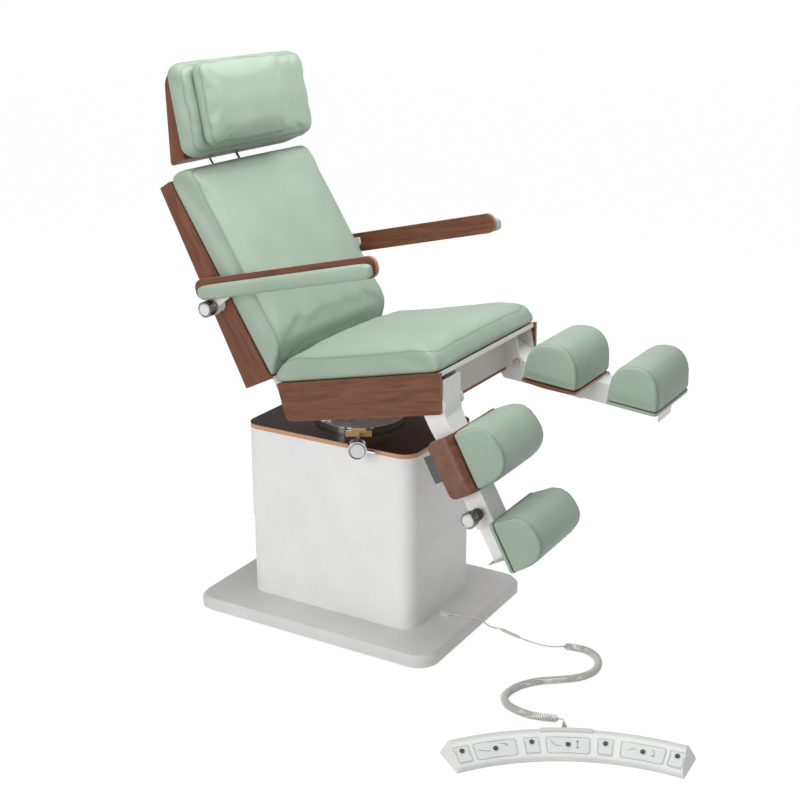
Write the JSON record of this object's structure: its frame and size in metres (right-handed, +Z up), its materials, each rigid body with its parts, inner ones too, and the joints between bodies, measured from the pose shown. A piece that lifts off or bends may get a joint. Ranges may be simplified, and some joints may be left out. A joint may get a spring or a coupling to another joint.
{
  "type": "podiatry chair",
  "caption": "Podiatry treatment chair on a telescopic column, with split leg rests, armrests, sliding head part and a curved foot control on a curly cord",
  "frame": {"origin": "On the floor under the middle of the pedestal", "axes": "+Z up, the front of the chair faces -Y, +X is the sitter's left"},
  "size_m": [1.0757, 1.7236, 1.6481],
  "materials": {
    "white_coat": "satin powder coat",
    "walnut": "satin lacquer",
    "vinyl": "soft grain",
    "chrome": "polished",
    "steel": "brushed",
    "brass": "cast",
    "dark_plastic": "matte",
    "white_plastic": "satin",
    "cord_grey": "matte",
    "black_rubber": "matte"
  },
  "bodies": {
    "base": {"floor_plate": "white_coat", "levelling_feet": "black_rubber", "lower_cover": "white_coat", "column_outer": "steel", "lift_drive": "dark_plastic", "pedal_housing": "white_plastic", "strain_reliefs": "white_plastic", "cord_lead": "cord_grey", "cord_connector": "cord_grey", "curly_cord": "cord_grey"},
    "mid_stage": {"column_mid": "steel"},
    "lift": {"column_inner": "steel", "upper_cover": "white_coat", "top_plate": "walnut", "swivel_base": "steel", "clamp_band": "chrome", "clamp_block": "brass"},
    "clamp": {"clamp_screw": "dark_plastic"},
    "turret": {"turntable": "steel"},
    "seat": {"seat_frame": "white_coat", "seat_panels": "walnut", "seat_cushion": "vinyl", "spindle_drives": "dark_plastic", "hinge_pins": "steel"},
    "tilt_push": {"tilt_rod": "steel"},
    "back_push": {"back_rod": "steel"},
    "back": {"back_frame": "white_coat", "back_panels": "walnut", "back_cushion": "vinyl"},
    "head_carriage": {"head_rods": "chrome"},
    "head": {"head_shell": "walnut", "head_cushion": "vinyl", "pillow": "vinyl"},
    "arm_right": {"arm_shell_right": "walnut", "arm_link_right": "white_coat", "arm_pad_right": "vinyl"},
    "arm_clamp_right": {"arm_knob_right": "chrome"},
    "leg_right": {"leg_beam_right": "white_coat", "calf_shell_right": "walnut", "calf_pad_right": "vinyl"},
    "foot_right": {"leg_slide_right": "white_coat", "foot_pad_right_leg": "vinyl"},
    "leg_clamp_right": {"leg_knob_right": "chrome"},
    "arm_left": {"arm_shell_left": "walnut", "arm_link_left": "white_coat", "arm_pad_left": "vinyl"},
    "arm_clamp_left": {"arm_knob_left": "chrome"},
    "leg_left": {"leg_beam_left": "white_coat", "calf_shell_left": "walnut", "calf_pad_left": "vinyl"},
    "foot_left": {"leg_slide_left": "white_coat", "foot_pad_left_leg": "vinyl"},
    "leg_clamp_left": {"leg_knob_left": "chrome"},
    "button_1": {"pedal_button_1": "dark_plastic"},
    "button_2": {"pedal_button_2": "dark_plastic"},
    "button_3": {"pedal_button_3": "dark_plastic"},
    "button_4": {"pedal_button_4": "dark_plastic"},
    "button_5": {"pedal_button_5": "dark_plastic"},
    "button_6": {"pedal_button_6": "dark_plastic"},
    "button_7": {"pedal_button_7": "dark_plastic"}
  },
  "joints": [
    {"name": "lift", "type": "slide", "parent": "base", "child": "lift", "axis": [0, 0, 1], "range_m": [-0.235, 0.025]},
    {"name": "lift_mid", "type": "slide", "parent": "base", "child": "mid_stage", "axis": [0, 0, 1], "range_m": [-0.118, 0.0126]},
    {"name": "swivel", "type": "hinge", "parent": "lift", "child": "turret", "pos_m": [0, 0, 0.6], "axis": [0, 0, 1], "range_deg": [-170, 170]},
    {"name": "clamp_screw", "type": "hinge", "parent": "lift", "child": "clamp", "pos_m": [-0.12951, -0.07568, 0.6], "axis": [-0.8634, -0.5045, 0], "range_deg": [-60, 60]},
    {"name": "seat_tilt", "type": "hinge", "parent": "turret", "child": "seat", "pos_m": [0, 0.05, 0.64], "axis": [1, 0, 0], "range_deg": [-8, 12.2]},
    {"name": "tilt_rod", "type": "slide", "parent": "seat", "child": "tilt_push", "axis": [0, 0.9774, -0.2113], "range_m": [-0.0115, 0.017]},
    {"name": "back_recline", "type": "hinge", "parent": "seat", "child": "back", "pos_m": [0, 0.11, 0.752], "axis": [-1, 0, 0], "range_deg": [0, 66]},
    {"name": "back_rod", "type": "slide", "parent": "seat", "child": "back_push", "axis": [0, -0.9774, 0.2113], "range_m": [0, 0.0825]},
    {"name": "head_slide", "type": "slide", "parent": "back", "child": "head_carriage", "axis": [0, 0.5314, 0.8471], "range_m": [0, 0.09]},
    {"name": "head_tilt", "type": "hinge", "parent": "head_carriage", "child": "head", "pos_m": [0, 0.5025, 1.38523], "axis": [1, 0, 0], "range_deg": [-20, 7]},
    {"name": "arm_right", "type": "hinge", "parent": "back", "child": "arm_right", "pos_m": [-0.329, 0.279, 0.97888], "axis": [-1, 0, 0], "range_deg": [-14, 95]},
    {"name": "arm_knob_right", "type": "hinge", "parent": "back", "child": "arm_clamp_right", "pos_m": [-0.352, 0.279, 0.97888], "axis": [-1, 0, 0], "range_deg": [-90, 90]},
    {"name": "leg_right", "type": "hinge", "parent": "seat", "child": "leg_right", "pos_m": [-0.237, -0.428, 0.7905], "axis": [-1, 0, 0], "range_deg": [-16.5, 73.5]},
    {"name": "leg_slide_right", "type": "slide", "parent": "leg_right", "child": "foot_right", "axis": [0, -0.4772, -0.8788], "range_m": [-0.08, 0.12]},
    {"name": "leg_knob_right", "type": "hinge", "parent": "leg_right", "child": "leg_clamp_right", "pos_m": [-0.32, -0.54765, 0.50727], "axis": [-1, 0, 0], "range_deg": [-90, 90]},
    {"name": "arm_left", "type": "hinge", "parent": "back", "child": "arm_left", "pos_m": [0.329, 0.279, 0.97888], "axis": [-1, 0, 0], "range_deg": [-14, 95]},
    {"name": "arm_knob_left", "type": "hinge", "parent": "back", "child": "arm_clamp_left", "pos_m": [0.352, 0.279, 0.97888], "axis": [1, 0, 0], "range_deg": [-90, 90]},
    {"name": "leg_left", "type": "hinge", "parent": "seat", "child": "leg_left", "pos_m": [0.237, -0.428, 0.7905], "axis": [-1, 0, 0], "range_deg": [-72.5, 17.5]},
    {"name": "leg_slide_left", "type": "slide", "parent": "leg_left", "child": "foot_left", "axis": [0, -0.9954, -0.0958], "range_m": [-0.08, 0.12]},
    {"name": "leg_knob_left", "type": "hinge", "parent": "leg_left", "child": "leg_clamp_left", "pos_m": [0.32, -0.72972, 0.73131], "axis": [1, 0, 0], "range_deg": [-90, 90]},
    {"name": "button_1", "type": "slide", "parent": "base", "child": "button_1", "axis": [0, 0, -1], "range_m": [0, 0.004], "stiffness_N_per_m": 450, "springref_m": -0.002},
    {"name": "button_2", "type": "slide", "parent": "base", "child": "button_2", "axis": [0, 0, -1], "range_m": [0, 0.004], "stiffness_N_per_m": 450, "springref_m": -0.002},
    {"name": "button_3", "type": "slide", "parent": "base", "child": "button_3", "axis": [0, 0, -1], "range_m": [0, 0.004], "stiffness_N_per_m": 450, "springref_m": -0.002},
    {"name": "button_4", "type": "slide", "parent": "base", "child": "button_4", "axis": [0, 0, -1], "range_m": [0, 0.004], "stiffness_N_per_m": 450, "springref_m": -0.002},
    {"name": "button_5", "type": "slide", "parent": "base", "child": "button_5", "axis": [0, 0, -1], "range_m": [0, 0.004], "stiffness_N_per_m": 450, "springref_m": -0.002},
    {"name": "button_6", "type": "slide", "parent": "base", "child": "button_6", "axis": [0, 0, -1], "range_m": [0, 0.004], "stiffness_N_per_m": 450, "springref_m": -0.002},
    {"name": "button_7", "type": "slide", "parent": "base", "child": "button_7", "axis": [0, 0, -1], "range_m": [0, 0.004], "stiffness_N_per_m": 450, "springref_m": -0.002}
  ],
  "couplings": [
    {"joint": "lift_mid", "follows": "lift", "ratio": 0.5},
    {"joint": "tilt_rod", "follows": "seat_tilt", "m_per_rad": 0.079},
    {"joint": "back_rod", "follows": "back_recline", "m_per_rad": 0.0709}
  ]
}
